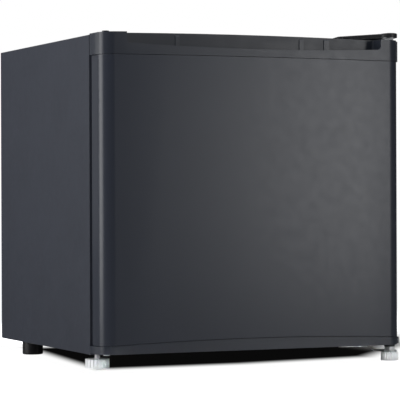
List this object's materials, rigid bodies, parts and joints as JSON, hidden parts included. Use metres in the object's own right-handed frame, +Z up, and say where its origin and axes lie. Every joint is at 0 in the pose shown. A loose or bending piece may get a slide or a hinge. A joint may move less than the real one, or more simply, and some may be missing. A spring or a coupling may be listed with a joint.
{
  "type": "mini fridge",
  "caption": "Counter-top mini fridge with one right-hinged insulated door, a grip recess in its top edge, an ice box, a wire shelf and a wire condenser on its back.",
  "frame": {"origin": "on the floor, under the middle of the whole fridge", "axes": "+X to the right seen from the front, +Y to the back, +Z up"},
  "size_m": [0.489, 0.468, 0.491],
  "materials": {
    "skin_paint": "satin powder coat",
    "door_paint": "satin paint",
    "cap_plastic": "fine moulded texture",
    "black_plastic": "moulded",
    "galvanised": "zinc coated",
    "screws": "zinc plated",
    "foam": "foamed in place",
    "white_liner": "vacuum formed, semi-gloss",
    "white_plastic": "moulded",
    "foot_plastic": "moulded",
    "frosted_plastic": "frosted",
    "rack_plastic": "clear moulded",
    "shelf_wire": "white plastic coat",
    "evaporator_aluminium": "roll bonded",
    "gasket_rubber": "soft moulded",
    "black_rubber": "moulded",
    "compressor_paint": "semi-gloss black",
    "condenser_paint": "satin black",
    "copper": "bare drawn tube",
    "control_metal": "zinc plated"
  },
  "bodies": {
    "cabinet": {"left_side_panel": "skin_paint", "right_side_panel": "skin_paint", "top_panel": "skin_paint", "bottom_panel": "skin_paint", "compressor_bay_panel": "galvanised", "back_panel": "galvanised", "insulation_foam": "foam", "inner_liner": "white_liner", "evaporator": "evaporator_aluminium", "evaporator_spacers": "white_plastic", "freezer_frame": "white_plastic", "tray_rails": "white_plastic", "thermostat_housing": "white_plastic", "thermostat_control": "control_metal", "sensing_bulb": "copper", "compressor": "compressor_paint", "compressor_plate": "galvanised", "compressor_grommets": "black_rubber", "compressor_bolts": "screws", "terminal_cover": "black_plastic", "base_beam": "galvanised", "discharge_line": "copper", "condenser_tube": "condenser_paint", "condenser_wires": "condenser_paint", "condenser_brackets": "black_plastic", "rear_screws": "screws", "filter_drier": "copper", "capillary_tube": "copper", "suction_line": "copper", "cord_gland": "black_rubber", "rear_feet": "black_plastic", "left_foot_socket": "galvanised", "top_hinge_bracket": "galvanised", "hinge_cover": "black_plastic", "hinge_screws": "screws", "lower_hinge_bracket": "galvanised", "lower_hinge_pin": "galvanised", "lower_hinge_washer": "black_plastic"},
    "door": {"door_skin": "door_paint", "door_top_cap": "cap_plastic", "door_bottom_cap": "cap_plastic", "door_foam": "foam", "door_liner": "white_liner", "door_gasket": "gasket_rubber", "hinge_bushes": "white_plastic", "top_hole_plug": "black_plastic", "bottom_hole_plug": "white_plastic"},
    "lower_rack": {"lower_door_rack": "rack_plastic"},
    "upper_rack": {"upper_door_rack": "rack_plastic"},
    "shelf": {"wire_shelf": "shelf_wire"},
    "tray": {"drip_tray": "frosted_plastic"},
    "flap": {"freezer_flap": "frosted_plastic"},
    "dial": {"thermostat_knob": "white_plastic"},
    "left_leg": {"left_foot_stud": "galvanised"},
    "left_wheel": {"left_foot_disc": "foot_plastic"},
    "right_leg": {"right_foot_stud": "galvanised"},
    "right_wheel": {"right_foot_disc": "foot_plastic"}
  },
  "joints": [
    {"name": "door_hinge", "type": "hinge", "parent": "cabinet", "child": "door", "pos_m": [0.228, -0.21702, 0.2518], "axis": [0, 0, 1], "range_deg": [0, 125]},
    {"name": "flap_hinge", "type": "hinge", "parent": "cabinet", "child": "flap", "pos_m": [-0.063, -0.07683, 0.3323], "axis": [1, 0, 0], "range_deg": [0, 90]},
    {"name": "tray_slide", "type": "slide", "parent": "cabinet", "child": "tray", "axis": [0, -1, 0], "range_m": [0, 0.07]},
    {"name": "shelf_slide", "type": "slide", "parent": "cabinet", "child": "shelf", "axis": [0, -1, 0], "range_m": [0, 0.065]},
    {"name": "lower_rack_lift", "type": "slide", "parent": "door", "child": "lower_rack", "axis": [0, 0, 1], "range_m": [0, 0.025]},
    {"name": "upper_rack_lift", "type": "slide", "parent": "door", "child": "upper_rack", "axis": [0, 0, 1], "range_m": [0, 0.025]},
    {"name": "dial_turn", "type": "hinge", "parent": "cabinet", "child": "dial", "pos_m": [0.136, -0.06042, 0.4133], "axis": [0, 1, 0], "range_deg": [0, 300]},
    {"name": "left_leg_screw", "type": "slide", "parent": "cabinet", "child": "left_leg", "axis": [0, 0, -1], "range_m": [0, 0.003]},
    {"name": "right_leg_screw", "type": "slide", "parent": "cabinet", "child": "right_leg", "axis": [0, 0, -1], "range_m": [0, 0.003]},
    {"name": "left_wheel_turn", "type": "hinge", "parent": "left_leg", "child": "left_wheel", "pos_m": [-0.218, -0.15402, 0.006], "axis": [0, 0, -1], "range_deg": [0, 864.5]},
    {"name": "right_wheel_turn", "type": "hinge", "parent": "right_leg", "child": "right_wheel", "pos_m": [0.228, -0.21702, 0.006], "axis": [0, 0, -1], "range_deg": [0, 864.5]}
  ],
  "couplings": [
    {"joint": "left_wheel_turn", "follows": "left_leg_screw", "rad_per_m": 5026.5},
    {"joint": "right_wheel_turn", "follows": "right_leg_screw", "rad_per_m": 5026.5}
  ]
}
